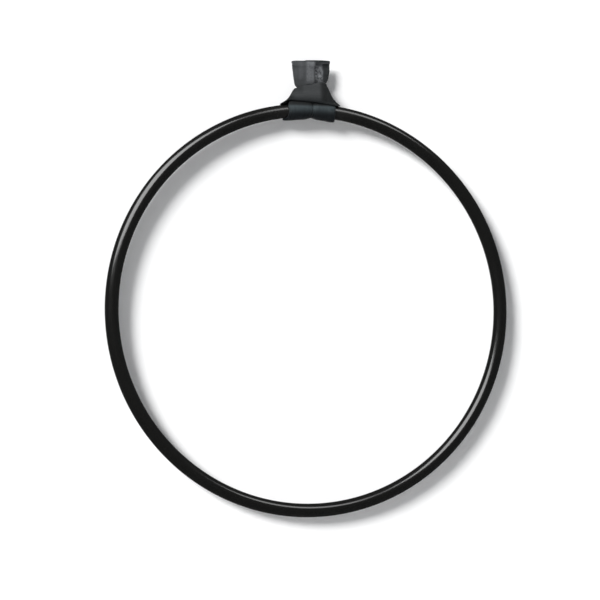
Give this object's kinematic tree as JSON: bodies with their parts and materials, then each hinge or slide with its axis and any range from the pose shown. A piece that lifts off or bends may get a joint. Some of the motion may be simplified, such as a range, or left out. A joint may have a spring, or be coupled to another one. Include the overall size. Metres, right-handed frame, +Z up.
{
  "type": "lyra hoop",
  "caption": "Tabless aerial hoop: a painted steel ring hung from a short round sling girth hitched round its tube.",
  "frame": {"origin": "top of the sling eye's bore, midway across the eye, where the load hangs", "axes": "+Z up along the hanging line, X across the hoop in its own plane, -Y towards the side where the hitch's skirt lies"},
  "size_m": [0.85, 0.0428, 0.9379],
  "materials": {
    "painted_tube": "gloss black powder coat",
    "bare_steel": "mill finish",
    "weld_metal": "ground flush",
    "sling_sleeve": "woven black polyester sleeve",
    "sling_core": "loose hank of undyed polyester yarn"
  },
  "bodies": {
    "eye": {"eye_sleeve": "sling_sleeve", "eye_core": "sling_core"},
    "upper_legs": {"upper_leg_front_sleeve": "sling_sleeve", "upper_leg_front_core": "sling_core", "upper_leg_rear_sleeve": "sling_sleeve", "upper_leg_rear_core": "sling_core"},
    "lower_legs": {"lower_leg_front_sleeve": "sling_sleeve", "lower_leg_front_core": "sling_core", "lower_leg_rear_sleeve": "sling_sleeve", "lower_leg_rear_core": "sling_core"},
    "hitch": {"hitch_sleeve": "sling_sleeve", "hitch_core": "sling_core"},
    "hoop": {"hoop_tube": "painted_tube", "joint_spigot": "bare_steel", "butt_weld": "weld_metal", "plug_weld_left_front": "weld_metal", "plug_weld_left_rear": "weld_metal", "plug_weld_right_front": "weld_metal", "plug_weld_right_rear": "weld_metal"}
  },
  "joints": [
    {"name": "sling_swing", "type": "hinge", "parent": "eye", "child": "upper_legs", "pos_m": [0, 0, -0.0193], "axis": [1, 0, 0], "range_deg": [-90, 90]},
    {"name": "sling_twist", "type": "hinge", "parent": "upper_legs", "child": "lower_legs", "pos_m": [0, 0, -0.0318], "axis": [0, 0, 1], "range_deg": [-60, 60], "stiffness_Nm_per_rad": 0.3},
    {"name": "sling_lean", "type": "hinge", "parent": "lower_legs", "child": "hitch", "pos_m": [0, 0, -0.0508], "axis": [0, 1, 0], "range_deg": [-15, 15]},
    {"name": "hoop_turn", "type": "hinge", "parent": "hitch", "child": "hoop", "pos_m": [0, 0, -0.5078], "axis": [0, 1, 0], "continuous": true}
  ]
}
